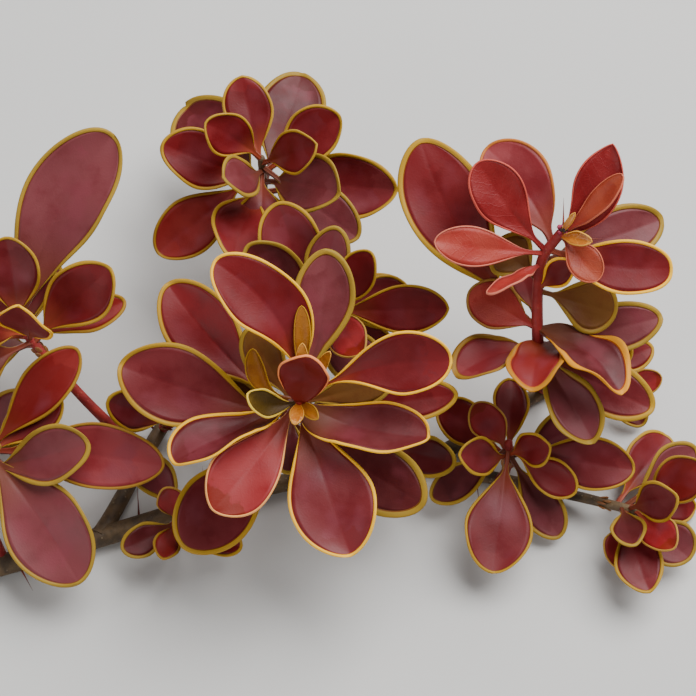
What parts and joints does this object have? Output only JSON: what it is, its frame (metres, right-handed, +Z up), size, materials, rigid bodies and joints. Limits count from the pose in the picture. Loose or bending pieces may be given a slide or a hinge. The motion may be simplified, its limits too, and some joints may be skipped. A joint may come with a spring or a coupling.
{
  "type": "cut japanese barberry branch",
  "caption": "Cut branch of a red-leaved shrub lying on the floor: a forked woody stem with short side shoots, each ending in a rosette of spoon-shaped leaves turned up.",
  "frame": {"origin": "middle of the underside of the branch's bounding box, on the floor it lies on", "axes": "+X along the branch from its cut end towards its far tip, +Z up from the floor towards the rosettes' faces; the picture looks from the -Y side, 62 degrees above the floor"},
  "size_m": [0.1456, 0.0992, 0.0577],
  "materials": {
    "bark": "matt red-brown bark with fine ridges",
    "leaf": "satin crimson blade with a thin yellow edge"
  },
  "bodies": {
    "root": {"main_stem": "bark", "left_bough": "bark", "right_bough": "bark", "front_shoot": "bark", "tall_shoot": "bark", "upper_left_shoot": "bark", "far_left_shoot": "bark", "low_right_shoot": "bark", "middle_shoot": "bark", "front_leaves": "leaf", "tall_leaves": "leaf", "upper_left_leaves": "leaf", "left_leaves": "leaf", "far_left_leaves": "leaf", "low_right_leaves": "leaf", "right_leaves": "leaf", "middle_leaves": "leaf", "lower_leaves": "leaf", "inner_leaves": "leaf", "side_leaves": "leaf", "end_leaves": "leaf"}
  },
  "joints": []
}
